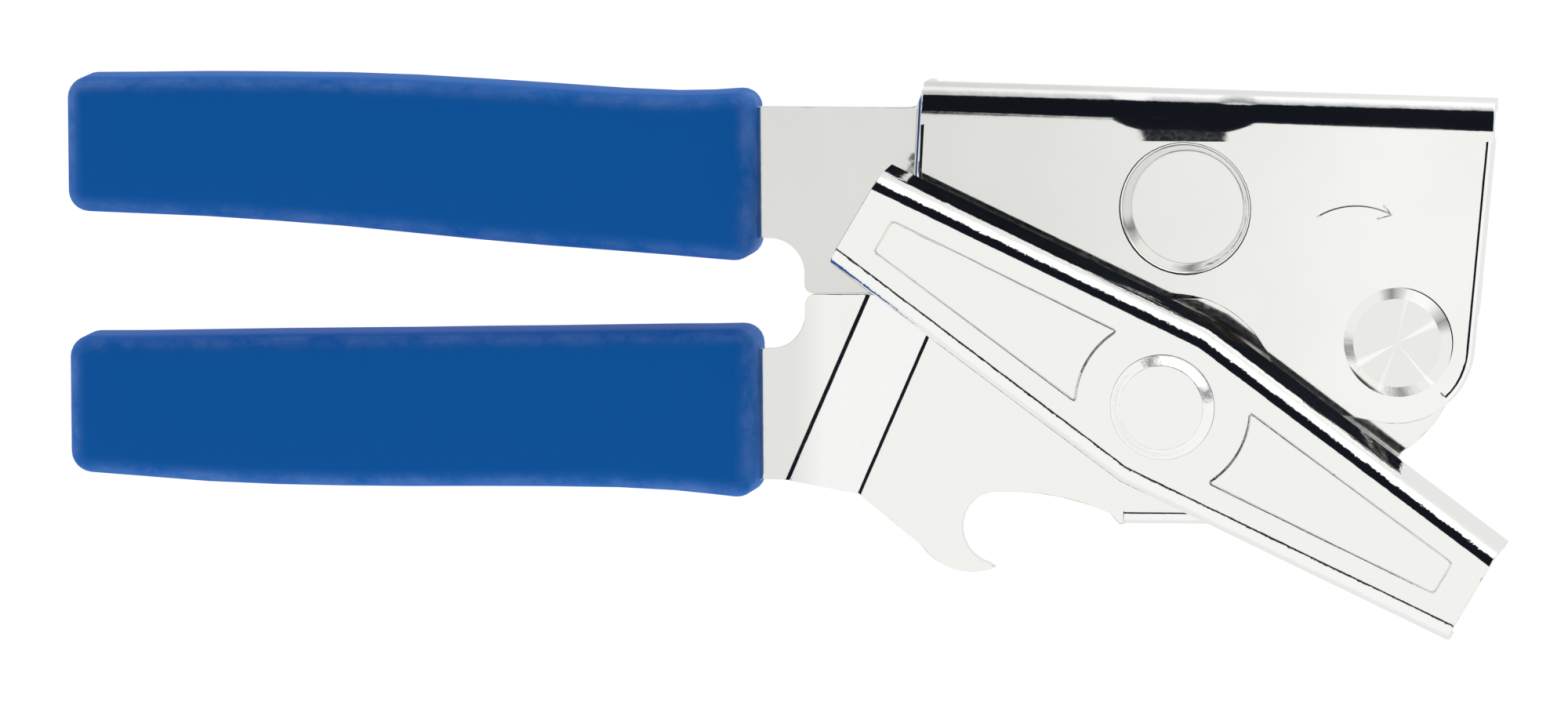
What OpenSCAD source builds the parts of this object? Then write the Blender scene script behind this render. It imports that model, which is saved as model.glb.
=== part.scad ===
// Manual can opener: two hinged handles, a butterfly crank, a feed wheel and a cutter wheel.
// It lies on its back on the plane Z = 0. The crank faces +Z and the handles point to -X.
// The origin is the middle of the outline, on the rest plane.

/* [Handles] */
// Length of each moulded grip
grip_length = 88; // [70:1:110]
// Thickness of each moulded grip
grip_thick = 12; // [10:0.5:15]
// Radius of the long edges of a grip
grip_edge = 2.8; // [1.5:0.1:4]
// Bare metal between the grips and the head
neck_length = 21.4; // [17:0.2:30]
// Width of the handle blades at the mouth of the grips
blade_width = 16.6; // [12:0.2:18]
// Radius of the rounded corners between the two necks
neck_round = 4.5; // [3:0.1:6]
// Gap left between the two necks when the handles are closed
stop_gap = 0.1; // [0.05:0.05:0.5]

/* [Head] */
// Length of the head, from its left step to its right flange
head_length = 73.2; // [60:0.2:90]
// Thickness of both pressed plates
sheet = 1.6; // [1.2:0.1:2]
// Height that the head stands in front of the upper handle blade
head_step = 5.8; // [5:0.1:8]
// Height that the lower body stands in front of its handle blade
body_step = 3.6; // [2.5:0.1:4]
// Depth of the long flange of the head, from its front face
head_flange = 4.2; // [3.2:0.1:4.5]
// How far the soft bend of the head's long flange reaches into its face
bend_reach = 5; // [3:0.1:6]
// How far that bend runs down
bend_drop = 2.6; // [2:0.1:3]
// Outer radius of the bend along the right side of the head
side_r = 1; // [0.6:0.1:1.5]
// Depth of the flange along the right side of the head
side_flange = 3.2; // [2.5:0.1:4.5]
// Outer radius of the bend below the lower body
body_r = 1.8; // [1.8:0.1:2.4]
// Inner radius of the fold at the foot of the lower ramp
fold_foot = 3; // [1:0.2:4]
// Inner radius of the fold at the top of the lower ramp
fold_head = 0.6; // [0.4:0.1:2]
// Depth of the stiffening flange below the lower body
body_flange = 5; // [3:0.1:6]
// Depth of the round recess that seats the cutter stud
pad_depth = 2; // [1:0.1:2.2]
// Radius of that recess at the front face
pad_r = 8.1; // [7:0.1:9]

/* [Pivot] */
// Distance of the pivot from the right end of the head
pivot_inset = 12.25; // [11:0.05:14]
// Radius of the rivet's shank
rivet_r = 3.5; // [2.5:0.1:4.5]
// Radius of the rivet's front head
rivet_head_r = 6.86; // [6:0.02:8]
// Height of the rivet's front head
rivet_head_h = 1.3; // [0.8:0.1:1.6]
// Radial clearance of every turning fit
run_fit = 0.05; // [0.02:0.01:0.1]
// Axial play between pieces that turn against each other
play = 0.1; // [0.05:0.05:0.2]

/* [Drive train] */
// Distance between the feed shaft and the cutter stud
gear_centres = 24.2; // [23:0.1:26]
// Number of teeth on each of the two equal gears
gear_teeth = 14; // [12:1:20]
// Thickness of the gears
gear_thick = 2.4; // [1.8:0.1:2.6]
// Radius of the drive shaft in its bushing
shaft_r = 3.2; // [2.8:0.1:4]
// Radius of the feed wheel over its teeth
feed_r = 11.7; // [10:0.1:12]
// Number of teeth on the feed wheel
feed_teeth = 30; // [20:1:40]
// How far the cutter wheel passes the edge of the feed wheel
cutter_overlap = 0.7; // [0.3:0.1:1]
// Thickness of the cutter wheel
cutter_thick = 1.2; // [0.8:0.1:1.4]
// Radius of the cutter stud
stud_r = 3; // [2.5:0.1:3.5]

/* [Crank] */
// Length of the crank from end to end
crank_length = 91; // [75:1:100]
// Width of the crank across its middle
crank_mid = 22.6; // [18:0.2:26]
// Width of the crank across its ends
crank_end = 13.6; // [11:0.2:18]
// Depth of the crank's channel
crank_depth = 7; // [6:0.1:9]
// Thickness of the crank's sheet
crank_sheet = 1.2; // [1:0.1:1.5]
// Angle of the crank at rest, clockwise from the handles
crank_angle = 31; // [0:0.5:90]
// Height of the raised disc over the shaft
boss_h = 1.2; // [0.8:0.1:1.5]

/* [Hidden] */
$fn = 72;

// Overlap of solids that are cut or joined
eps = 0.01;
far = 300;

// Heights, from the rest plane up
blade_z = (grip_thick - sheet) / 2;
head_z = blade_z + head_step;
body_z = blade_z + body_step;
head_top = head_z + sheet;
body_top = body_z + sheet;
gear_top = body_z - 0.8;
gear_z = gear_top - gear_thick;
feed_top = gear_z - 0.2;
feed_z = 3;
cutter_z = feed_z - 0.2 - cutter_thick;
nut_top = feed_z - 0.6;
nut_z = nut_top - 1.8;
crank_back = head_top + rivet_head_h + 0.6;
crank_top = crank_back + crank_depth;
crank_under = crank_top - crank_sheet;

// Places along the handles
mesh_angle = 86;
total_length = grip_length + neck_length + head_length;
feed_inset = pivot_inset + 26.95 + gear_centres * cos(mesh_angle);
crank_past = crank_length / 2 * cos(crank_angle) + crank_end / 2 * sin(crank_angle) + 0.4 - feed_inset;
x_left = -(total_length + max(crank_past, 0)) / 2;
x_mouth = x_left + grip_length;
x_head = x_mouth + neck_length;
x_right = x_left + total_length;
x_blade = x_left + 10;
x_neck = x_head - 15.5;

// Heights across the handles, measured up and down from the line where the two necks meet
close_y = 7.2;
half_gap = 7;
upper_low = close_y + half_gap;
upper_high = upper_low + blade_width;
lower_high = close_y - half_gap;
lower_low = lower_high - blade_width;

// Axes
pivot = [x_right - pivot_inset, 2.25];
cutter = pivot + [-26.95, 16.6];
feed = cutter - gear_centres * [cos(mesh_angle), sin(mesh_angle)];
boss_clear = 13.4;

// Outline of the head: its top runs slightly down and its right side slightly in
top_left = [x_head + 0.6, 34.4];
top_slope = -1.34;
step_lean = 3.4;
corner_r = 10;
corner = pivot + [-0.55, -0.3];
top_right = top_left + (x_right - top_left[0]) * [1, tan(top_slope)];

// The right side flange runs down to the round corner and follows it as a shallow lip
side_top = top_right + [-0.15, -bend_reach - 0.1];
side_way = side_top - corner;
side_angle = atan2(side_way[1], side_way[0]) - acos(corner_r / norm(side_way));
side_run = sqrt(norm(side_way) ^ 2 - corner_r ^ 2);
lip_end = -46;
lip_run = 4.6;
lip_depth = max(head_top - body_top - 0.2, sheet + 0.1);

// Bottle opener hook below the lower body
hook = [x_head + 9.55, -21.9];
hook_r = 4.6;
hook_back = 7.9;
flange_y = -21.3;
ramp_lean = 24;
ramp_run = 9.6;

// Gears
pitch_r = gear_centres / 2;
module_mm = gear_centres / gear_teeth;
gear_r = pitch_r + 0.75 * module_mm;
root_r = pitch_r - module_mm;
pressure = 25;
backlash = 0.3;
square_drive = shaft_r * sqrt(2) - 0.2;
hub_flats = 8.6;
cutter_r = gear_centres - feed_r + cutter_overlap;

function turn(a) = [cos(a), sin(a)];
function arc(c, r, a0, a1, n = 12) = [for (i = [0:n]) c + r * turn(a0 + (a1 - a0) * i / n)];

module at(p, z = 0) {
    translate([p[0], p[1], z]) children();
}

module disc(r, z0, z1) {
    translate([0, 0, z0]) cylinder(r = r, h = z1 - z0);
}

module ring(r_out, r_in, z0, z1) {
    difference() {
        disc(r_out, z0, z1);
        disc(r_in, z0 - 1, z1 + 1);
    }
}

// Points of a bend from the wall to the face, in to 'reach' and down to 'drop'
function bend(reach, drop, t, n = 10) = [for (i = [0:n]) let (a = 90 * i / n)
    [reach - (reach - t) * cos(a), (drop - t) * sin(a) - drop]];

// Section of a flange: outer face on X = 0, front face on Y = 0, wall running down to -depth.
// A bend sharper than the sheet is coined, so its inner corner is square
module flange_section(depth, reach, drop) {
    inner = reach > sheet ? bend(reach, drop, sheet) : [[sheet, -sheet]];
    end = max(reach, sheet) + 0.2;
    polygon(concat(
        [[0, -depth]],
        bend(reach, drop, 0),
        [[end, 0], [end, -sheet]],
        [for (i = [len(inner) - 1:-1:0]) inner[i]],
        [[sheet, -depth]]));
}

// A straight flange from point a to point b, with the plate on the left of that direction
module flange(a, b, z, depth, reach, drop) {
    run = b - a;
    at(a, z) rotate([0, 0, atan2(run[1], run[0])]) rotate([90, 0, 90])
        linear_extrude(norm(run)) flange_section(depth, reach, drop);
}

// The strip of plate along the line from a to b that a bend takes the place of
module beyond(a, b, reach, z0, z1) {
    run = b - a;
    at(a, z0) rotate([0, 0, atan2(run[1], run[0])]) translate([0, -5, 0])
        cube([norm(run), max(reach, sheet) + 5, z1 - z0]);
}

// ---- Upper handle ----

function upper_outline() = concat(
    [[x_blade, upper_low + 5.4], [x_mouth, upper_low]],
    arc([x_neck - neck_round, upper_low - neck_round], neck_round, 90, 0),
    arc([x_neck + 1, close_y + stop_gap / 2 + 1], 1, 180, 270, 6),
    [[x_head, close_y + stop_gap / 2], [x_head + 1, feed[1] + boss_clear]],
    arc(feed, boss_clear, 90, 24),
    [feed + [12.7, 4.3], feed + [20.8, -1.7]],
    arc(corner, corner_r, -98, side_angle),
    [top_right + [-0.2, -3], top_right, top_left],
    arc([x_head - 2.3, upper_high + 2.9], 2.9, 0, -90, 6),
    [[x_mouth, upper_high], [x_blade, upper_high + 1.3]]);

// Side view of the upper sheet: the blade, the upright step and the head
module upper_section() {
    polygon(concat(
        [[-far, blade_z]],
        arc([x_head + sheet - 1.2, blade_z + 1.2], 1.2, -90, 0, 4),
        [[x_head + sheet, head_z], [far, head_z], [far, head_top]],
        arc([x_head + 1.2, head_top - 1.2], 1.2, 90, 180, 4),
        [[x_head, blade_z + sheet], [-far, blade_z + sheet]]));
}

module upper_blade() {
    intersection() {
        linear_extrude(40) polygon(upper_outline());
        at(top_left) rotate([0, 0, -step_lean]) translate([-top_left[0], far / 2, 0])
            rotate([90, 0, 0]) linear_extrude(far) upper_section();
    }
}

// The round corner's own frame: the straight side starts on its +X axis and runs along +Y
module from_corner(z) {
    at(corner, z) rotate([0, 0, side_angle]) children();
}

module round_corner() {
    mirror([0, 1, 0]) rotate_extrude(angle = side_angle - lip_end) children();
}

module right_flange() {
    from_corner(head_top) {
        difference() {
            translate([corner_r, 0, 0]) rotate([90, 0, 180]) linear_extrude(side_run)
                flange_section(side_flange, side_r, side_r);
            translate([0, -1, -lip_depth - 5]) cube([corner_r + 1, lip_run + 1, 5]);
        }
        round_corner() translate([corner_r, 0]) mirror([1, 0]) flange_section(lip_depth, side_r, side_r);
    }
}

// The strip of plate that the right flange takes the place of
module right_strip() {
    width = max(side_r, sheet);
    from_corner(head_z - 1) {
        translate([corner_r - width, 0, 0]) cube([width + 5, side_run, sheet + 2]);
        round_corner() translate([corner_r - width, 0]) square([width + 5, sheet + 2]);
    }
}

module upper_plate() {
    color("gainsboro") difference() {
        union() {
            difference() {
                upper_blade();
                beyond(top_right, top_left, bend_reach, head_z - 1, head_top + 1);
                right_strip();
            }
            flange(top_right, top_left, head_top, head_flange, bend_reach, bend_drop);
            right_flange();
            at(cutter) disc(pad_r + 1, head_z - pad_depth, head_z + eps);
        }
        at(cutter, head_top - pad_depth)
            cylinder(r1 = pad_r - 0.9, r2 = pad_r, h = pad_depth + eps);
        at(pivot) disc(rivet_r, 0, 40);
    }
}

// A grip is a sleeve whose section is a rounded box, drawn through a few stations
module grip_station(x, low, high, inset = 0) {
    r = grip_edge;
    for (y = [low + r + inset, high - r - inset], z = [r + inset, grip_thick - r - inset])
        translate([x, y, z]) rotate([0, 90, 0]) cylinder(r = r, h = eps, $fn = 24);
}

module grip_body(stations) {
    for (i = [0:len(stations) - 2]) hull() {
        a = stations[i];
        b = stations[i + 1];
        grip_station(a[0], a[1], a[2], a[3]);
        grip_station(b[0], b[1], b[2], b[3]);
    }
}

module upper_grip() {
    color("royalblue") difference() {
        grip_body([
            [x_left, upper_low + 2.8, upper_high + 4, 1.6],
            [x_left + 2, upper_low + 2.8, upper_high + 4.1, 0],
            [x_left + 0.35 * grip_length, upper_low + 0.9, upper_high + 4.2, 0],
            [x_mouth - 0.17 * grip_length, upper_low - 2.1, upper_high + 2, 0],
            [x_mouth, upper_low - 3.2, upper_high + 2.6, 0]]);
        upper_blade();
    }
}

module pivot_rivet() {
    color("silver") at(pivot) {
        disc(rivet_r, body_z - 0.9, head_top + eps);
        disc(rivet_head_r, head_top, head_top + 0.5);
        translate([0, 0, head_top + 0.5])
            cylinder(r1 = rivet_head_r, r2 = rivet_head_r - 1.3, h = rivet_head_h - 0.5);
        translate([0, 0, body_z - 2.2]) cylinder(r1 = 4.4, r2 = 5.4, h = 0.6);
        disc(5.4, body_z - 1.6, body_z - 0.9);
    }
}

module pivot_spacer() {
    color("goldenrod") at(pivot) ring(7, rivet_r, body_top + play, head_z);
}

module pivot_washer() {
    color("silver") at(pivot) ring(6.6, rivet_r, body_z - 0.9, body_z - play);
}

module cutter_stud() {
    color("silver") at(cutter) difference() {
        union() {
            disc(stud_r, cutter_z - play, head_z - pad_depth);
            disc(stud_r + 1.8, gear_top + 0.6, head_z - pad_depth);
        }
        disc(1.6, 0, gear_z);
    }
}

module spring_washer() {
    color("dimgray") at(cutter) ring(stud_r + 2.6, stud_r + 0.1, gear_top + play, gear_top + 0.6);
}

module cutter_screw() {
    color("silver") at(cutter) difference() {
        union() {
            cylinder(r1 = 4.8, r2 = 5.4, h = 0.5);
            disc(5.4, 0.5 - eps, cutter_z - play);
            disc(1.6, cutter_z - play - eps, gear_z - 0.2);
        }
        translate([-6, -0.6, -1]) cube([12, 1.2, 1.8]);
    }
}

// ---- Cutter, turning on its stud ----

function inv(a) = tan(a) * 180 / PI - a;
function half_tooth(r) = (PI * module_mm / 2 - backlash) / 2 / pitch_r * 180 / PI
    + inv(pressure) - inv(acos(min(1, pitch_r * cos(pressure) / r)));

module gear_outline() {
    base_r = pitch_r * cos(pressure);
    steps = 5;
    flank = [for (i = [0:steps]) base_r + (gear_r - base_r) * i / steps];
    polygon([for (k = [0:gear_teeth - 1]) let (a = k * 360 / gear_teeth) each concat(
        [root_r * turn(a - half_tooth(base_r))],
        [for (i = [0:steps]) flank[i] * turn(a - half_tooth(flank[i]))],
        [for (i = [0:steps]) flank[steps - i] * turn(a + half_tooth(flank[steps - i]))],
        [root_r * turn(a + half_tooth(base_r))])]);
}

module cutter_gear() {
    color("darkgray") at(cutter, gear_z) difference() {
        rotate([0, 0, mesh_angle + 180 + 180 / gear_teeth]) linear_extrude(gear_thick) gear_outline();
        translate([0, 0, -1]) cylinder(d = hub_flats, h = gear_thick + 2, $fn = 6);
    }
}

// The hub is the bearing. A hexagon at each end drives the gear and the wheel
module cutter_hub() {
    color("silver") at(cutter) difference() {
        union() {
            translate([0, 0, cutter_z]) cylinder(d = hub_flats, h = gear_top - cutter_z, $fn = 6);
            disc(5.6, cutter_z + cutter_thick, gear_z);
        }
        disc(stud_r + run_fit, 0, 20);
    }
}

module cutter_wheel() {
    color("lightgray") at(cutter, cutter_z) difference() {
        union() {
            cylinder(r = cutter_r - 1.6, h = cutter_thick);
            translate([0, 0, cutter_thick - 0.3]) cylinder(r = cutter_r, h = 0.3);
            cylinder(r1 = cutter_r - 1.6, r2 = cutter_r, h = cutter_thick - 0.3 + eps);
        }
        translate([0, 0, -1]) cylinder(d = hub_flats, h = cutter_thick + 2, $fn = 6);
    }
}

// ---- Lower handle ----

function lower_outline() = concat(
    [[x_blade, lower_high - 2], [x_blade, lower_low + 3.2], [x_mouth, lower_low],
     [x_head - 18.5, lower_low], [x_head - 8.1, lower_low - 1.4], [x_head - 3.1, hook[1]]],
    arc(hook + [-3.4, 2.3], hook_back, 215, 291, 8),
    [hook + [-0.4, -4.9]],
    arc(hook, hook_r, 255, 90),
    arc(hook + [1.5, -28], 32.6, 86, 67, 6),
    [[x_head + 25, flange_y], [feed[0] + 7.6, flange_y], pivot + [-1, -15.6]],
    arc(pivot + [-8.1, -1], 15.4, -58, -26, 6),
    arc(pivot, 8.2, -30, 104),
    [[feed[0] + 9, close_y + 0.3], [feed[0] - 6, close_y - stop_gap / 2]],
    arc([x_neck + 1.4, close_y - stop_gap / 2 - 1.4], 1.4, 90, 180, 6),
    arc([x_neck - neck_round, lower_high + neck_round], neck_round, 0, -90),
    [[x_mouth, lower_high]]);

// Side view of the lower sheet, square to its two folds: blade, ramp, body
module lower_section() {
    ramp = atan2(body_step, ramp_run);
    foot = [-fold_foot * tan(ramp / 2), sheet + fold_foot];
    head = [ramp_run + (fold_head + sheet) * tan(ramp / 2), body_step - fold_head];
    polygon(concat(
        [[-far, 0]],
        arc(foot, fold_foot + sheet, -90, ramp - 90, 6),
        arc(head, fold_head, 90 + ramp, 90, 6),
        [[far, body_step], [far, body_step + sheet]],
        arc(head, fold_head + sheet, 90, 90 + ramp, 6),
        arc(foot, fold_foot, ramp - 90, -90, 6),
        [[-far, sheet]]));
}

module lower_blade() {
    intersection() {
        linear_extrude(40) polygon(lower_outline());
        translate([x_head - 10.6, 0, blade_z]) rotate([0, 0, -ramp_lean])
            translate([0, far / 2, 0]) rotate([90, 0, 0]) linear_extrude(far) lower_section();
    }
}

module lower_plate() {
    low_left = [x_head + 25.5, flange_y];
    low_right = [feed[0] + 7, flange_y];
    color("gainsboro") difference() {
        union() {
            difference() {
                lower_blade();
                beyond(low_left, low_right, body_r, body_z - 1, body_top + 1);
            }
            flange(low_left, low_right, body_top, body_flange, body_r, body_r);
        }
        at(pivot) disc(rivet_r + run_fit, 0, 40);
        at(feed) disc(shaft_r + 1.8, 0, 40);
    }
}

module lower_grip() {
    color("royalblue") difference() {
        grip_body([
            [x_left, lower_low + 0.2, lower_high + 1.6, 1.6],
            [x_left + 2, lower_low + 0.4, lower_high + 1.7, 0],
            [x_left + 0.32 * grip_length, lower_low - 1.2, lower_high + 2.2, 0],
            [x_mouth - 0.2 * grip_length, lower_low - 1.2, lower_high + 3, 0],
            [x_mouth, lower_low - 2.6, lower_high + 3.3, 0]]);
        lower_blade();
    }
}

module shaft_bushing() {
    color("goldenrod") at(feed) difference() {
        union() {
            disc(shaft_r + 1.8, body_z, body_top + eps);
            disc(shaft_r + 4.2, body_top, body_top + 1.2);
        }
        disc(shaft_r + run_fit, 0, 40);
    }
}

module thrust_washer() {
    color("silver") at(feed) ring(shaft_r + 3.6, shaft_r + run_fit, gear_top + play, body_z);
}

// ---- Crank and drive shaft ----

// One quarter of the crank, from the shaft to an end and from the middle line to a flared flange
module crank_quarter() {
    lean = atan2((crank_mid - crank_end) / 2, crank_length / 2);
    flare = 8;
    r = 2.8;
    intersection() {
        translate([0, -eps, -20]) cube([crank_length / 2, crank_mid, 30]);
        translate([0, crank_mid / 2, 0]) rotate([0, 0, -lean])
            translate([-10, 0, 0]) rotate([90, 0, 90]) linear_extrude(crank_length) union() {
                intersection() {
                    translate([-r, -r]) difference() {
                        circle(r = r);
                        circle(r = r - crank_sheet);
                    }
                    translate([-r, -r]) polygon([[0, 0], [0, r + 1], [r + 1, r + 1],
                        [r + 1, (r + 1) * tan(flare)]]);
                }
                translate([-r, -r]) rotate(flare)
                    translate([r - crank_sheet, -(crank_depth - r) / cos(flare)])
                    square([crank_sheet, (crank_depth - r) / cos(flare) + eps]);
                translate([-crank_mid, -crank_sheet]) square([crank_mid - r + eps, crank_sheet]);
            }
    }
}

module crank() {
    color("whitesmoke") at(feed) rotate([0, 0, -crank_angle]) difference() {
        union() {
            for (mx = [0, 1], my = [0, 1])
                translate([0, 0, crank_top]) mirror([mx, 0, 0]) mirror([0, my, 0]) crank_quarter();
            translate([0, 0, crank_top - eps]) cylinder(r1 = 6.5, r2 = 5.3, h = boss_h + eps);
        }
        translate([0, 0, crank_under - 5]) cylinder(r = 5.2, h = 5 + eps);
        translate([0, 0, crank_under]) cylinder(r1 = 5.2, r2 = 4.2, h = boss_h);
    }
}

module crank_spacer() {
    color("silver") at(feed) ring(shaft_r + 2, shaft_r, body_top + 1.2 + play, crank_under);
}

module drive_shaft() {
    color("silver") at(feed) {
        disc(shaft_r, gear_top, crank_under + boss_h);
        disc(4.2, crank_under, crank_under + boss_h);
        translate([-square_drive / 2, -square_drive / 2, feed_z])
            cube([square_drive, square_drive, gear_top - feed_z + eps]);
        disc(2.1, 0, feed_z + eps);
    }
}

module square_hole() {
    translate([0, 0, 10]) cube([square_drive, square_drive, 40], center = true);
}

module drive_gear() {
    color("darkgray") at(feed) difference() {
        translate([0, 0, gear_z]) rotate([0, 0, mesh_angle]) linear_extrude(gear_thick) gear_outline();
        square_hole();
    }
}

module feed_wheel() {
    pitch = 360 / feed_teeth;
    color("darkgray") at(feed) difference() {
        union() {
            translate([0, 0, feed_z]) linear_extrude(feed_top - feed_z)
                polygon([for (k = [0:feed_teeth - 1]) each [
                    (feed_r - 1) * turn(k * pitch), feed_r * turn((k + 0.38) * pitch),
                    feed_r * turn((k + 0.62) * pitch)]]);
            disc(6, feed_z, gear_z);
        }
        square_hole();
    }
}

module lock_washer() {
    color("dimgray") at(feed) ring(4.6, 2.1, nut_top, feed_z);
}

module shaft_nut() {
    color("silver") at(feed) difference() {
        translate([0, 0, nut_z]) cylinder(d = 9.2, h = nut_top - nut_z, $fn = 6);
        disc(2.1, 0, 5);
    }
}

upper_plate();
upper_grip();
pivot_rivet();
pivot_spacer();
pivot_washer();
cutter_stud();
spring_washer();
cutter_screw();
cutter_gear();
cutter_hub();
cutter_wheel();
lower_plate();
lower_grip();
shaft_bushing();
thrust_washer();
crank();
crank_spacer();
drive_shaft();
drive_gear();
feed_wheel();
lock_washer();
shaft_nut();
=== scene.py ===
# A manual can opener, lying on its back and closed: two nickel-plated pressed steel plates hinged on
# one rivet, blue vinyl grips, a butterfly crank in front, and the feed and cutter wheels behind.
import math

import bpy
from mathutils import Matrix, Vector


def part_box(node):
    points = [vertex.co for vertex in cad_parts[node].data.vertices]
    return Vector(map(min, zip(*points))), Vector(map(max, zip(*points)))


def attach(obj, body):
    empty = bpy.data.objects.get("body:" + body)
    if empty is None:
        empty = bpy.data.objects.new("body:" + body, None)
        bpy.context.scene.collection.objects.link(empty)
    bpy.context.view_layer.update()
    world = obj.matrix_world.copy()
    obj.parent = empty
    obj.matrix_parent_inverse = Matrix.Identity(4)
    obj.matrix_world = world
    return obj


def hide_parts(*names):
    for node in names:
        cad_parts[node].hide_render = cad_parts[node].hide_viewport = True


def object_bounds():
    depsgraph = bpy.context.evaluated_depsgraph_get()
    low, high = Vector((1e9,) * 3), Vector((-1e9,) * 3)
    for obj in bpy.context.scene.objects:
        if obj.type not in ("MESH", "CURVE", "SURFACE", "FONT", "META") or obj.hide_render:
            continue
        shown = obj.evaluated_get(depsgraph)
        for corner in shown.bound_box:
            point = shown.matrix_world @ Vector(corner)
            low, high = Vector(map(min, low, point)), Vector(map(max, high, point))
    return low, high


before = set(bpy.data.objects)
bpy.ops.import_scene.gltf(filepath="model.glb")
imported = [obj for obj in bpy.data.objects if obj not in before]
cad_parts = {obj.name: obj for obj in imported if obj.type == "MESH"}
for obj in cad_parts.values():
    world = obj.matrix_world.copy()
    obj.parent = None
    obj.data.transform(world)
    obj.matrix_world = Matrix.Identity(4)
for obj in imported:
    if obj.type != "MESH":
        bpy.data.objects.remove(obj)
cad_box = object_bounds()


# ---- Camera, floor and light ----
# A long lens looks down at the opener from slightly right of it and above. The floor is a pale backlit
# sheet. The studio is a light tent with one black flag along the far side, which metal needs to read.
MM = 0.001


def linear(hex_colour):
    """An sRGB hex colour as linear RGBA."""
    parts = [int(hex_colour[i:i + 2], 16) / 255 for i in (1, 3, 5)]
    return [c / 12.92 if c <= 0.04045 else ((c + 0.055) / 1.055) ** 2.4 for c in parts] + [1.0]


def add_node(tree, kind, inputs=None, **settings):
    """Adds a node with its settings. An input is either a value or another node's output."""
    made = tree.nodes.new("ShaderNode" + kind)
    for key, value in settings.items():
        setattr(made, key, value)
    for key, value in (inputs or {}).items():
        if isinstance(value, bpy.types.NodeSocket):
            tree.links.new(value, made.inputs[key])
        else:
            made.inputs[key].default_value = value
    return made


def new_material(name, **shader_values):
    """A material with one Principled shader, whose constant values are on its own sockets."""
    made = bpy.data.materials.new(name)
    made.use_nodes = True
    tree = made.node_tree
    tree.nodes.clear()
    shader = add_node(tree, "BsdfPrincipled", {k.replace("_", " "): v for k, v in shader_values.items()})
    out = add_node(tree, "OutputMaterial", {"Surface": shader.outputs["BSDF"]})
    place = add_node(tree, "TexCoord").outputs["Object"]
    return made, tree, shader, place


def view_axes(toward):
    """The camera's right and up directions for a view from that direction, with +Y up the picture."""
    back = Vector(toward).normalized()
    right = Vector((0, 1, 0)).cross(back).normalized()
    level = (Vector((1, 0, 0)) - back * back.x).normalized()
    right = (right + level).normalized()
    return right, back.cross(right), back


def place_camera():
    """Sets the lens by how wide a strip it sees at its distance. The lengths are in metres."""
    lean = Vector((0.17, 0.10, 1))
    distance, field, sensor_width = 3.0, 0.1976, 36
    aim_shift_x, aim_shift_y, aim_height = -0.0004, 0.0003, 0.0106
    middle = (cad_box[0] + cad_box[1]) / 2
    aim = Vector((middle.x + aim_shift_x, middle.y + aim_shift_y, aim_height))
    right, up, back = view_axes(lean)
    camera = bpy.data.objects.new("camera", bpy.data.cameras.new("camera"))
    bpy.context.scene.collection.objects.link(camera)
    spot = aim + back * distance
    camera.matrix_world = Matrix((
        (right.x, up.x, back.x, spot.x), (right.y, up.y, back.y, spot.y),
        (right.z, up.z, back.z, spot.z), (0, 0, 0, 1)))
    camera.data.sensor_width = sensor_width
    camera.data.lens = sensor_width * distance / field
    camera.data.clip_start, camera.data.clip_end = 0.05, 10
    bpy.context.scene.camera = camera


def make_floor():
    """White to the eye, and a paler grey in what the metal mirrors, as a sheet lit unevenly is."""
    seen_glow, mirrored_glow = 1.0, 0.8
    width, under = 6, -0.0002
    bpy.ops.object.select_all(action="DESELECT")
    bpy.ops.mesh.primitive_grid_add(x_subdivisions=8, y_subdivisions=8, size=width, location=(0, 0, under))
    floor = bpy.context.object
    floor.name = "floor"
    bpy.ops.object.transform_apply(location=True, rotation=False, scale=False)
    # Opal acrylic: even, matt and white, with a glow that does the work of its colour
    made, tree, shader, place = new_material("white acrylic sheet lit from below", Roughness=0.7)
    shader.inputs["Base Color"].default_value = linear("#505050")
    shader.inputs["Emission Color"].default_value = (1, 1, 1, 1)
    mirrored = add_node(tree, "LightPath").outputs["Is Glossy Ray"]
    glow = add_node(tree, "MapRange", {"Value": mirrored, "To Min": seen_glow, "To Max": mirrored_glow})
    tree.links.new(glow.outputs["Result"], shader.inputs["Emission Strength"])
    floor.data.materials.append(made)


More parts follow.
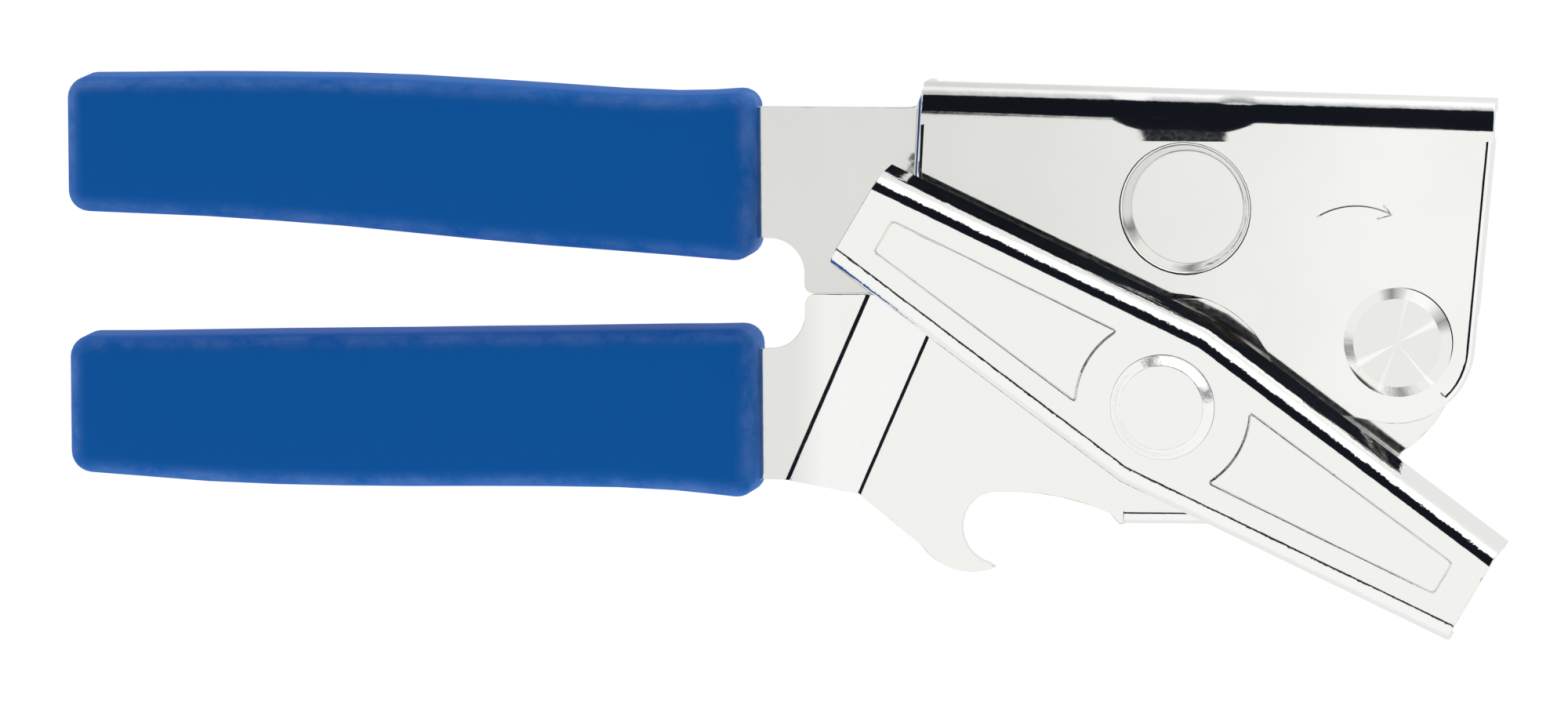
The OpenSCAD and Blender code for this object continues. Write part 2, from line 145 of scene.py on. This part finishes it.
def light_studio():
    """A white tent with a grey card in front of the lens and a round black flag behind the card."""
    lens_way = Vector((-0.17, -0.10, 1)).normalized()
    flag_way = (lens_way + Vector((0.16, 0.27, 0))).normalized()
    far_side = Vector((0.45, 0.89, 0)).normalized()
    card_angle, flag_angle = 13.5, 42
    card_edge, flag_edge = 0.5, 0.6
    beside_flag, lamp_side, card = (0.3, 0.31, 0.33, 1), (1.15, 1.15, 1.15, 1), (0.965, 0.965, 0.955, 1)
    world = bpy.data.worlds.new("light tent")
    bpy.context.scene.world = world
    world.use_nodes = True
    tree = world.node_tree
    tree.nodes.clear()
    way = add_node(tree, "TexCoord").outputs["Generated"]
    inside = []
    for middle, angle, soft in ((lens_way, card_angle, card_edge), (flag_way, flag_angle, flag_edge)):
        near = add_node(tree, "VectorMath", {0: way, 1: tuple(middle)}, operation="DOT_PRODUCT")
        shape = add_node(tree, "MapRange", {"Value": near.outputs["Value"],
                                            "From Min": math.cos(math.radians(angle + soft)),
                                            "From Max": math.cos(math.radians(angle - soft))})
        inside.append(shape.outputs["Result"])
    in_card, in_flag = inside
    lean = add_node(tree, "VectorMath", {0: way, 1: tuple(far_side)}, operation="DOT_PRODUCT")
    lean = lean.outputs["Value"]
    dim = add_node(tree, "MapRange", {"Value": lean, "From Min": 0.45, "From Max": 0.62}).outputs["Result"]
    lit = add_node(tree, "MapRange", {"Value": lean, "From Min": 0.62, "From Max": 0.8}).outputs["Result"]
    sky = add_node(tree, "Mix", {0: dim, 6: (1, 1, 1, 1), 7: beside_flag}, data_type="RGBA").outputs[2]
    sky = add_node(tree, "Mix", {0: lit, 6: sky, 7: lamp_side}, data_type="RGBA").outputs[2]
    sky = add_node(tree, "Mix", {0: in_flag, 6: sky, 7: linear("#14181F")}, data_type="RGBA").outputs[2]
    sky = add_node(tree, "Mix", {0: in_card, 6: sky, 7: card}, data_type="RGBA").outputs[2]
    tent = add_node(tree, "Background", {"Color": sky, "Strength": 1.0})
    add_node(tree, "OutputWorld", {"Surface": tent.outputs["Background"]})


place_camera()
make_floor()
light_studio()
bpy.context.scene.view_settings.view_transform = "Standard"
bpy.context.scene.view_settings.look = "None"


# ---- Head plate and handle plate ----
# Two sheets of 1.6 mm steel, blanked and folded in a press, then bright nickel plated. The upper one steps
# forward into the head; the lower one carries the crank and the bottle opener hook.
def only(obj):
    """Makes obj the one selected and active object."""
    bpy.ops.object.select_all(action="DESELECT")
    obj.select_set(True)
    bpy.context.view_layer.objects.active = obj


def apply_modifier(obj, kind, **settings):
    """Adds a modifier to obj and applies it."""
    only(obj)
    made = obj.modifiers.new(kind.lower(), kind)
    for key, value in settings.items():
        setattr(made, key, value)
    bpy.ops.object.modifier_apply(modifier=made.name)


def solid_copy(node, name):
    """A merged copy of a CAD node, with its flat faces whole again."""
    obj = bpy.data.objects.new(name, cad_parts[node].data.copy())
    bpy.context.scene.collection.objects.link(obj)
    only(obj)
    bpy.ops.object.mode_set(mode="EDIT")
    bpy.ops.mesh.select_all(action="SELECT")
    bpy.ops.mesh.remove_doubles(threshold=0.002 * MM)
    bpy.ops.mesh.customdata_custom_splitnormals_clear()
    bpy.ops.mesh.dissolve_limited(angle_limit=math.radians(0.3))
    bpy.ops.object.mode_set(mode="OBJECT")
    return obj


def round_edges(obj, radius, segments=2, shortest=0.0, sheared=()):
    """Rounds the sharp edges, as tumbling and plating leave them. Edges under the shortest length stay
    sharp, and so do those that end within 1 mm of the sheared (x, y) spots."""
    sheared_reach = 1 * MM
    only(obj)
    bpy.ops.object.mode_set(mode="EDIT")
    bpy.ops.mesh.select_mode(type="EDGE")
    bpy.ops.mesh.select_all(action="DESELECT")
    bpy.ops.mesh.edges_select_sharp(sharpness=math.radians(32))
    bpy.ops.object.mode_set(mode="OBJECT")
    sharp = [edge for edge in obj.data.edges if edge.select]
    for group in (obj.data.vertices, obj.data.edges, obj.data.polygons):
        group.foreach_set("select", [False] * len(group))
    for edge in sharp:
        start, end = [obj.data.vertices[i].co for i in edge.vertices]
        near = any((spot.xy - Vector(cut)).length < sheared_reach
                   for spot in (start, end) for cut in sheared)
        edge.select = (end - start).length > shortest and not near
    bpy.ops.object.mode_set(mode="EDIT")
    bpy.ops.mesh.bevel(offset=radius, segments=segments, profile=0.5, clamp_overlap=False)
    bpy.ops.object.mode_set(mode="OBJECT")
    smooth_faces(obj)


def smooth_faces(obj, angle=38):
    """Smooths across edges that bend less than the angle, and lets the large faces set the shading."""
    only(obj)
    bpy.ops.object.shade_smooth_by_angle(angle=math.radians(angle))
    apply_modifier(obj, "WEIGHTED_NORMAL", keep_sharp=True, weight=50)


def finish_piece(obj, body, slot, material, *nodes):
    """Gives a piece its material and its body, and hides the CAD nodes it stands for. The slot argument is
    not used.
    """
    obj.data.materials.clear()
    obj.data.materials.append(material)
    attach(obj, body)
    if nodes:
        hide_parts(*nodes)


def engrave(obj, points, cyclic, width):
    """Cuts a fine groove of half-round section along a line of points into obj."""
    line = bpy.data.curves.new("stamping edge", "CURVE")
    line.dimensions = "3D"
    line.bevel_depth = width / 2
    line.bevel_resolution = 2
    line.use_fill_caps = True
    spline = line.splines.new("POLY")
    spline.points.add(len(points) - 1)
    for point, spot in zip(spline.points, points):
        point.co = (*spot, 1)
    spline.use_cyclic_u = cyclic
    cutter = bpy.data.objects.new("stamping edge", line)
    bpy.context.scene.collection.objects.link(cutter)
    only(cutter)
    bpy.ops.object.convert(target="MESH")
    cutter = bpy.context.object
    apply_modifier(obj, "BOOLEAN", operation="DIFFERENCE", solver="EXACT", object=cutter)
    bpy.data.objects.remove(cutter)


def nickel_plate(name, shaded_tint, clear, painted_shade_x, ripple, ripple_size):
    """Bright nickel over pressed steel: a mirror that waves slightly at its bends, with a faint grain and
    wipe marks. Its colour carries a painted shade, darker towards low X and clearing from the first X of the
    given range to the second, clouded a little at random."""
    made, tree, shader, place = new_material(name, Metallic=1.0)
    cloud = add_node(tree, "TexNoise", {"Vector": place, "Scale": 1 / (22 * MM), "Detail": 4.0,
                                        "Roughness": 0.6}).outputs["Fac"]
    # Painted shade: the base colour goes from the darker tint at low X to the clear tint, with random
    # clouding.
    along = add_node(tree, "SeparateXYZ", {"Vector": place}).outputs["X"]
    painted_shade_and_cloud = add_node(tree, "MapRange", {"Value": along, "From Min": painted_shade_x[0], "From Max": painted_shade_x[1]})
    drift = add_node(tree, "MapRange", {"Value": cloud, "From Min": 0.3, "From Max": 0.7,
                                        "To Min": -0.12, "To Max": 0.12})
    painted_shade_and_cloud = add_node(tree, "Math", {0: painted_shade_and_cloud.outputs["Result"], 1: drift.outputs["Result"]}, use_clamp=True)
    tint = add_node(tree, "Mix", {0: painted_shade_and_cloud.outputs["Value"], 6: linear(shaded_tint), 7: linear(clear)},
                    data_type="RGBA")
    tree.links.new(tint.outputs[2], shader.inputs["Base Color"])
    specks = add_node(tree, "TexNoise", {"Vector": place, "Scale": 1 / (0.5 * MM), "Detail": 2.0})
    wiped = add_node(tree, "Math", {0: cloud, 1: specks.outputs["Fac"]}, operation="MULTIPLY")
    gloss = add_node(tree, "MapRange", {"Value": wiped.outputs["Value"], "From Min": 0.1, "From Max": 0.45,
                                        "To Min": 0.045, "To Max": 0.12})
    tree.links.new(gloss.outputs["Result"], shader.inputs["Roughness"])
    facing = add_node(tree, "SeparateXYZ", {"Vector": tree.nodes["Texture Coordinate"].outputs["Normal"]})
    bent = add_node(tree, "MapRange", {"Value": facing.outputs["Z"], "From Min": 0.9, "From Max": 0.998,
                                       "To Min": 1.0, "To Max": 0.1}).outputs["Result"]
    waves = add_node(tree, "TexNoise", {"Vector": place, "Scale": 1 / ripple_size, "Detail": 3.0,
                                        "Roughness": 0.6}).outputs["Fac"]
    waves = add_node(tree, "Math", {0: waves, 1: bent}, operation="MULTIPLY").outputs["Value"]
    fine = add_node(tree, "TexNoise", {"Vector": place, "Scale": 1 / (0.4 * MM), "Detail": 1.0})
    low = add_node(tree, "Bump", {"Height": fine.outputs["Fac"], "Distance": 0.0006 * MM, "Strength": 1.0})
    bump = add_node(tree, "Bump", {"Height": waves, "Distance": ripple, "Strength": 1.0,
                                   "Normal": low.outputs["Normal"]})
    tree.links.new(bump.outputs["Normal"], shader.inputs["Normal"])
    return made


plate_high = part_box("upper_plate")[1]
head_length = 73 * MM
head_x = plate_high.x - head_length
wave_height, wave_width = 0.05 * MM, 4 * MM

# Bright nickel on the head: painted shade makes it greyer towards its left end, clearing towards its right
# end
head_nickel = nickel_plate("bright nickel on the pressed head", "#DEDEDB", "#F8F8F6",
                           (head_x, plate_high.x - 12 * MM), wave_height, wave_width)

# Bright nickel on the body: painted shade makes it duller over the handle blade, and clear from just short
# of the head
body_nickel = nickel_plate("bright nickel on the pressed body", "#E6E6E3", "#F5F5F3",
                           (head_x - 17 * MM, head_x - 13 * MM), wave_height, wave_width)

# Pressing the recess drew the sheet down a little between its rim and the long bend. The dip is a bump,
# which is full for the flat's width to each side of the cutter and gone at the half width.
cutter_low, cutter_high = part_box("cutter_wheel")
cutter_spot = (cutter_low + cutter_high) / 2
recess_r, rim_r = 8.1 * MM, 0.4 * MM
drawn_half, drawn_flat = 9.5 * MM, 4 * MM
drawn_edge, drawn_run, drawn_depth = 0.35 * MM, 2.9 * MM, 0.38 * MM
tree = head_nickel.node_tree
shader, place = tree.nodes["Principled BSDF"], tree.nodes["Texture Coordinate"].outputs["Object"]
axes = add_node(tree, "SeparateXYZ", {"Vector": place})
across = add_node(tree, "Math", {0: axes.outputs["X"], 1: cutter_spot.x}, operation="SUBTRACT")
across = add_node(tree, "Math", {0: across.outputs["Value"]}, operation="ABSOLUTE").outputs["Value"]
across = add_node(tree, "MapRange", {"Value": across, "From Min": drawn_half, "From Max": drawn_flat},
                  interpolation_type="SMOOTHSTEP").outputs["Result"]
start_y = cutter_spot.y + recess_r + drawn_edge
fall = add_node(tree, "MapRange", {"Value": axes.outputs["Y"], "From Min": start_y,
                                   "From Max": start_y + drawn_run,
                                   "To Min": 0.0, "To Max": -drawn_depth}).outputs["Result"]
fall = add_node(tree, "Math", {0: fall, 1: across}, operation="MULTIPLY").outputs["Value"]
drawn = add_node(tree, "Bump", {"Height": fall, "Distance": 1.0, "Strength": 1.0,
                                "Normal": shader.inputs["Normal"].links[0].from_socket})
tree.links.new(drawn.outputs["Normal"], shader.inputs["Normal"])

upper = solid_copy("upper_plate", "head_and_upper_handle")

# The soft rim of the round recess over the cutter
only(upper)
bpy.ops.object.mode_set(mode="EDIT")
bpy.ops.mesh.select_mode(type="EDGE")
bpy.ops.mesh.select_all(action="DESELECT")
bpy.ops.object.mode_set(mode="OBJECT")
for edge in upper.data.edges:
    ends = [upper.data.vertices[i].co for i in edge.vertices]
    radii = [(end.xy - cutter_spot.xy).length for end in ends]
    edge.select = all(abs(r - recess_r) < 0.05 * MM for r in radii) and all(
        abs(end.z - plate_high.z) < 0.02 * MM for end in ends)
bpy.ops.object.mode_set(mode="EDIT")
bpy.ops.mesh.bevel(offset=rim_r, segments=5, profile=0.5, clamp_overlap=False)
bpy.ops.object.mode_set(mode="OBJECT")
rivet_low, rivet_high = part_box("pivot_rivet")
pivot_spot = (rivet_low + rivet_high) / 2

# The places where a folded flange stops, which the shear left square
plated_round, short_edge = 0.14 * MM, 0.32 * MM
flange_ends = [(plate_high.x - 0.1 * MM, plate_high.y - 6.9 * MM),
               (head_x + 0.35 * MM, plate_high.y),
               (head_x + 0.3 * MM, plate_high.y - 5.1 * MM),
               (pivot_spot.x + 6.4 * MM, pivot_spot.y - 7.5 * MM)]
round_edges(upper, plated_round, shortest=short_edge, sheared=flange_ends)

# The stamped arrow that shows which way the crank turns: a shallow arc and two short barbs
arrow_r, arrow_from, arrow_to, arrow_line = 9.5 * MM, 122, 62, 0.22 * MM
arrow_mid = Vector((pivot_spot.x - 5.2 * MM, pivot_spot.y + 7.6 * MM, plate_high.z))
arc = [arrow_mid + arrow_r * Vector((math.cos(math.radians(a)), math.sin(math.radians(a)), 0))
       for a in range(arrow_from, arrow_to - 1, -5)]
tip = arc[-1]
barbs = [tip + Vector((-1.1, 1.2, 0)) * MM, tip, tip + Vector((-1.9, -0.5, 0)) * MM]
engrave(upper, arc, False, arrow_line)
engrave(upper, barbs, False, arrow_line)
smooth_faces(upper)
finish_piece(upper, "upper_handle", "plated_steel", head_nickel, "upper_plate")

lower = solid_copy("lower_plate", "body_and_lower_handle")
round_edges(lower, plated_round)
finish_piece(lower, "lower_handle", "plated_steel", body_nickel, "lower_plate")


# ---- Crank ----
# A butterfly key of 1.2 mm steel, drawn into a channel with flared sides and bright nickel plated. Each wing
# has a stamped panel, and a raised disc in the middle covers the end of the drive shaft.
crank_turn, panel_inner_r = -31.0, 11.1 * MM
panel_out, panel_out_half, panel_in, panel_in_half = 41.2 * MM, 2.26 * MM, 9.8 * MM, 5.2 * MM
panel_corner, panel_line = 0.5 * MM, 0.34 * MM
boss_height = 1.2 * MM

# Bright nickel with a closer wave than the plates have, and only a faint painted shade. The painted shade
# runs over two metres, so it is even along the crank.
crank_nickel = nickel_plate("bright nickel on the drawn crank", "#F2F2F0", "#F8F8F6",
                            (-1.0, 1.0), 0.08 * MM, 1.6 * MM)
shaft_low, shaft_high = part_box("drive_shaft")
shaft_spot = (shaft_low + shaft_high) / 2
crank = solid_copy("crank", "crank_key")
round_edges(crank, 0.16 * MM)
crank_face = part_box("crank")[1].z - boss_height
swing = math.degrees(math.atan2(panel_in_half, panel_in))


def eased(outline, cut):
    """The closed outline with each corner cut back by that length along both of its sides."""
    spots = [Vector(spot) for spot in outline]
    result = []
    for before, spot, after in zip(spots[-1:] + spots[:-1], spots, spots[1:] + spots[:1]):
        back, on = (before - spot), (after - spot)
        if back.angle(on) > math.radians(160):
            result.append(tuple(spot))
        else:
            start, end = spot + back.normalized() * cut, spot + on.normalized() * cut
            result += [tuple(start), tuple((start + end) / 4 + spot / 2), tuple(end)]
    return result


for side in (0, 180):
    outline = [(-panel_out, panel_out_half), (-panel_in, panel_in_half)]
    outline += [(-panel_inner_r * math.cos(math.radians(a)), panel_inner_r * math.sin(math.radians(a)))
                for a in (swing * k / 6 for k in range(5, -6, -1))]
    outline += [(-panel_in, -panel_in_half), (-panel_out, -panel_out_half)]
    outline = eased(outline, panel_corner)
    turn = Matrix.Rotation(math.radians(crank_turn + side), 3, "Z")
    middle = Vector((shaft_spot.x, shaft_spot.y, crank_face))
    spots = [turn @ Vector((u, v, 0)) + middle for u, v in outline]
    engrave(crank, spots, True, panel_line)
smooth_faces(crank)
finish_piece(crank, "crank_train", "plated_steel", crank_nickel, "crank")


# ---- Vinyl grips ----
# Two moulded sleeves of soft blue vinyl, pushed over the handle blades. They swell towards the palm and are
# rounded all along their edges. Those edges are painted paler, partly as dust and scuffs from handling and
# partly as a painted highlight.

# Matt blue vinyl with a fine moulded grain, paler in patches on its rounded edges: partly chalky dust where
# they rub, partly a painted highlight
vinyl, tree, shader, place = new_material("moulded blue vinyl", Roughness=0.6, Specular_IOR_Level=0.12)
shape_normal = tree.nodes["Texture Coordinate"].outputs["Normal"]
straight = add_node(tree, "VectorMath", {0: shape_normal}, operation="ABSOLUTE").outputs["Vector"]
parts = add_node(tree, "SeparateXYZ", {"Vector": straight})
flat = add_node(tree, "Math", {0: parts.outputs["Y"], 1: parts.outputs["Z"]}, operation="MAXIMUM")
edge = add_node(tree, "MapRange", {"Value": flat.outputs["Value"], "From Min": 0.995, "From Max": 0.8,
                                   "To Min": 0.0, "To Max": 1.0}).outputs["Result"]
patchy = add_node(tree, "TexNoise", {"Vector": place, "Scale": 1 / (5 * MM), "Detail": 6.0,
                                     "Roughness": 0.7}).outputs["Fac"]
patchy = add_node(tree, "MapRange", {"Value": patchy, "From Min": 0.35, "From Max": 0.65}).outputs["Result"]
# Dust and painted highlight: the rounded edges, found by their object-space normal, turn a paler blue in
# patches.
dust_and_sheen = add_node(tree, "Math", {0: edge, 1: patchy}, operation="MULTIPLY").outputs["Value"]
colour = add_node(tree, "Mix", {0: dust_and_sheen, 6: linear("#0464BC"), 7: linear("#4A7CCB")}, data_type="RGBA")
tree.links.new(colour.outputs[2], shader.inputs["Base Color"])
grain = add_node(tree, "TexNoise", {"Vector": place, "Scale": 1 / (0.35 * MM), "Detail": 3.0}).outputs["Fac"]
bump = add_node(tree, "Bump", {"Height": grain, "Distance": 0.012 * MM, "Strength": 1.0})
tree.links.new(bump.outputs["Normal"], shader.inputs["Normal"])


def moulded_grip(node, name, body, outline):
    """A sleeve along X through stations (share of length, low, high). Low and high are in mm, inwards from
    the sides of the CAD grip's box."""
    edge_round = 2.6 * MM
    low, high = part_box(node)
    bpy.ops.object.select_all(action="DESELECT")
    bpy.ops.mesh.primitive_cube_add(size=1, location=(low + high) / 2, scale=high - low)
    obj = bpy.context.object
    obj.name = name
    bpy.ops.object.transform_apply(location=True, rotation=True, scale=True)
    bpy.ops.object.mode_set(mode="EDIT")
    bpy.ops.mesh.select_mode(type="EDGE")
    bpy.ops.mesh.select_all(action="DESELECT")
    bpy.ops.object.mode_set(mode="OBJECT")
    for e in obj.data.edges:
        ends = [obj.data.vertices[i].co.x for i in e.vertices]
        e.select = abs(ends[0] - ends[1]) > MM
    bpy.ops.object.mode_set(mode="EDIT")
    bpy.ops.mesh.subdivide(number_cuts=len(outline) - 2)
    bpy.ops.object.mode_set(mode="OBJECT")
    middle_y, length = (low.y + high.y) / 2, high.x - low.x
    for v in obj.data.vertices:
        k = round((v.co.x - low.x) / length * (len(outline) - 1))
        share, inset_low, inset_high = outline[k]
        v.co.x = low.x + share * length
        v.co.y = low.y + inset_low * MM if v.co.y < middle_y else high.y - inset_high * MM
    apply_modifier(obj, "BEVEL", width=edge_round, segments=6, limit_method="ANGLE",
                   angle_limit=math.radians(50), use_clamp_overlap=False)
    only(obj)
    bpy.ops.object.shade_smooth_by_angle(angle=math.radians(60))
    finish_piece(obj, body, "blue_vinyl", vinyl, node)


moulded_grip("upper_grip", "upper_grip_sleeve", "upper_handle", [
    (0, 6.3, 0.7), (0.1, 6, 0.6), (0.2, 5.7, 0.45), (0.3, 5.2, 0.45), (0.4, 4.6, 0.5), (0.5, 3.8, 0.75),
    (0.6, 3, 1.2), (0.7, 2.3, 1.7), (0.8, 1.7, 2.25), (0.88, 1.2, 2.5), (0.93, 0.85, 2.4), (0.97, 0.6, 2.15),
    (1, 0.5, 2)])
moulded_grip("lower_grip", "lower_grip_sleeve", "lower_handle", [
    (0, 3.2, 2.1), (0.1, 2.6, 2), (0.2, 2, 1.8), (0.3, 1.7, 1.6), (0.4, 1.6, 1.45), (0.5, 1.6, 1.3),
    (0.6, 1.7, 1.1), (0.7, 1.75, 0.95), (0.8, 1.7, 0.75), (0.88, 1.4, 0.6), (0.93, 1, 0.55),
    (0.97, 0.65, 0.45), (1, 0.5, 0.4)])


# ---- Pivot rivet ----
# A shouldered steel rivet that hinges the two plates. Its front head is chamfered and faced on a lathe, and
# the fan of light that the fine facing marks throw from the middle is a painted highlight in its colour.

# Bright steel with fine lathe rings. The fan is a painted highlight: lighter colour by the angle round the
# middle, so it stays where it is as the view moves.
faced, tree, shader, place = new_material("lathe-faced bright steel", Metallic=1.0, Roughness=0.08)
centred = add_node(tree, "VectorMath", {0: place, 1: (pivot_spot.x, pivot_spot.y, 0)}, operation="SUBTRACT")
axes = add_node(tree, "SeparateXYZ", {"Vector": centred.outputs["Vector"]})
bearing = add_node(tree, "Math", {0: axes.outputs["Y"], 1: axes.outputs["X"]}, operation="ARCTAN2")
bearing = bearing.outputs["Value"]
painted_fan_highlight = None
# Painted highlight: bright rays at fixed angles round the middle stand in for the light that the lathe rings
# reflect.
for degrees, half_width, strength in (
        (28, 7, 1.0), (-152, 7, 1.0), (-50, 3, 1.0), (-112, 4, 0.5), (78, 4, 0.4)):
    off = add_node(tree, "Math", {0: bearing, 1: math.radians(degrees)}, operation="SUBTRACT")
    off = off.outputs["Value"]
    off = add_node(tree, "Math", {0: off}, operation="ABSOLUTE").outputs["Value"]
    highlight_ray = add_node(tree, "MapRange", {"Value": off, "From Min": 0.0, "From Max": math.radians(half_width),
                                      "To Min": strength, "To Max": 0.0}).outputs["Result"]
    if painted_fan_highlight is None:
        painted_fan_highlight = highlight_ray
    else:
        painted_fan_highlight = add_node(tree, "Math", {0: painted_fan_highlight, 1: highlight_ray}, operation="MAXIMUM").outputs["Value"]
# Painted highlight streaks: noise along the angle round the middle breaks the painted rays into streaks.
marks = add_node(tree, "CombineXYZ", {"X": bearing}).outputs["Vector"]
marks = add_node(tree, "TexNoise", {"Vector": marks, "Scale": 14.0, "Detail": 3.0}).outputs["Fac"]
painted_fan_highlight = add_node(tree, "Math", {0: marks, 1: 0.35, 2: painted_fan_highlight}, operation="MULTIPLY_ADD", use_clamp=True)
tint = add_node(tree, "Mix", {0: painted_fan_highlight.outputs["Value"], 6: linear("#E9E9E6"), 7: linear("#FFFFFF")},
                data_type="RGBA")
tree.links.new(tint.outputs[2], shader.inputs["Base Color"])
ring_pitch = 0.3 * MM
radius = add_node(tree, "VectorMath", {0: centred.outputs["Vector"]}, operation="LENGTH").outputs["Value"]
rings = add_node(tree, "Math", {0: radius, 1: 2 * math.pi / ring_pitch}, operation="MULTIPLY")
rings = add_node(tree, "Math", {0: rings.outputs["Value"]}, operation="SINE").outputs["Value"]
bump = add_node(tree, "Bump", {"Height": rings, "Distance": 0.0006 * MM, "Strength": 1.0})
tree.links.new(bump.outputs["Normal"], shader.inputs["Normal"])
rivet = solid_copy("pivot_rivet", "turned_rivet")
smooth_faces(rivet, 20)
finish_piece(rivet, "upper_handle", "turned_steel", faced, "pivot_rivet")


# ---- Washers, stud, gears and shaft pieces ----
# Small turned and stamped pieces behind the plates that carry the crank, the feed wheel and the cutter. Each
# has the finish of its own trade: sintered bronze, zinc plate, oiled spring steel, hardened gear steel.
def satin_metal(name, light, dark, roughness, cloud_size):
    """A satin metal whose colour clouds a little between light and dark."""
    made, tree, shader, place = new_material(name, Metallic=1.0, Roughness=roughness)
    grain_size, grain_depth = 0.15 * MM, 0.002 * MM
    cloud = add_node(tree, "TexNoise", {"Vector": place, "Scale": 1 / cloud_size, "Detail": 3.0})
    cloud = add_node(tree, "MapRange", {"Value": cloud.outputs["Fac"], "From Min": 0.3, "From Max": 0.7})
    cloud = cloud.outputs["Result"]
    tint = add_node(tree, "Mix", {0: cloud, 6: linear(dark), 7: linear(light)}, data_type="RGBA").outputs[2]
    tree.links.new(tint, shader.inputs["Base Color"])
    grain = add_node(tree, "TexNoise", {"Vector": place, "Scale": 1 / grain_size, "Detail": 2.0})
    bump = add_node(tree, "Bump", {"Height": grain.outputs["Fac"], "Distance": grain_depth, "Strength": 1.0})
    tree.links.new(bump.outputs["Normal"], shader.inputs["Normal"])
    return made


# Turned steel: clean and satin
turned = satin_metal("turned bright steel", "#D0D0CE", "#BDBDBB", 0.3, 2 * MM)
# Sintered bronze: brown gold, and mottled by its pores
bronze = satin_metal("sintered bronze", "#B58A4C", "#9C7540", 0.35, 0.8 * MM)
# Zinc plate: bluish white over stamped or turned steel
zinc = satin_metal("bright zinc plate", "#CDD0D2", "#B7BABD", 0.28, 3 * MM)
# Spring steel: dark from its tempering oil
spring = satin_metal("oiled spring steel", "#6E7074", "#55575B", 0.4, 2 * MM)
# Gear steel: an even mid grey from case hardening
hardened = satin_metal("case-hardened gear steel", "#9C9DA0", "#85868A", 0.38, 4 * MM)
# Blade steel: the brightest of the small pieces, from grinding
ground = satin_metal("ground blade steel", "#D6D8DA", "#C2C4C7", 0.22, 1.5 * MM)
small_round = 0.08 * MM
for node, name, body, slot, metal in (
        ("pivot_spacer", "bronze_spacer", "upper_handle", "bronze", bronze),
        ("pivot_washer", "pivot_washer_ring", "upper_handle", "zinc_steel", zinc),
        ("cutter_stud", "cutter_stud_post", "upper_handle", "zinc_steel", turned),
        ("spring_washer", "spring_washer_ring", "upper_handle", "spring_steel", spring),
        ("cutter_screw", "cutter_screw_head", "upper_handle", "zinc_steel", zinc),
        ("cutter_gear", "cutter_gear_wheel", "cutter_train", "gear_steel", hardened),
        ("cutter_hub", "cutter_hub_sleeve", "cutter_train", "gear_steel", turned),
        ("cutter_wheel", "cutting_disc", "cutter_train", "blade_steel", ground),
        ("shaft_bushing", "bronze_bushing", "lower_handle", "bronze", bronze),
        ("thrust_washer", "thrust_washer_ring", "lower_handle", "zinc_steel", zinc),
        ("crank_spacer", "crank_spacer_sleeve", "crank_train", "zinc_steel", zinc),
        ("drive_shaft", "drive_shaft_pin", "crank_train", "zinc_steel", turned),
        ("drive_gear", "drive_gear_wheel", "crank_train", "gear_steel", hardened),
        ("feed_wheel", "serrated_feed_wheel", "crank_train", "gear_steel", hardened),
        ("lock_washer", "lock_washer_ring", "crank_train", "spring_steel", spring),
        ("shaft_nut", "shaft_nut_hex", "crank_train", "zinc_steel", zinc)):
    piece = solid_copy(node, name)
    round_edges(piece, small_round)
    finish_piece(piece, body, slot, metal, node)
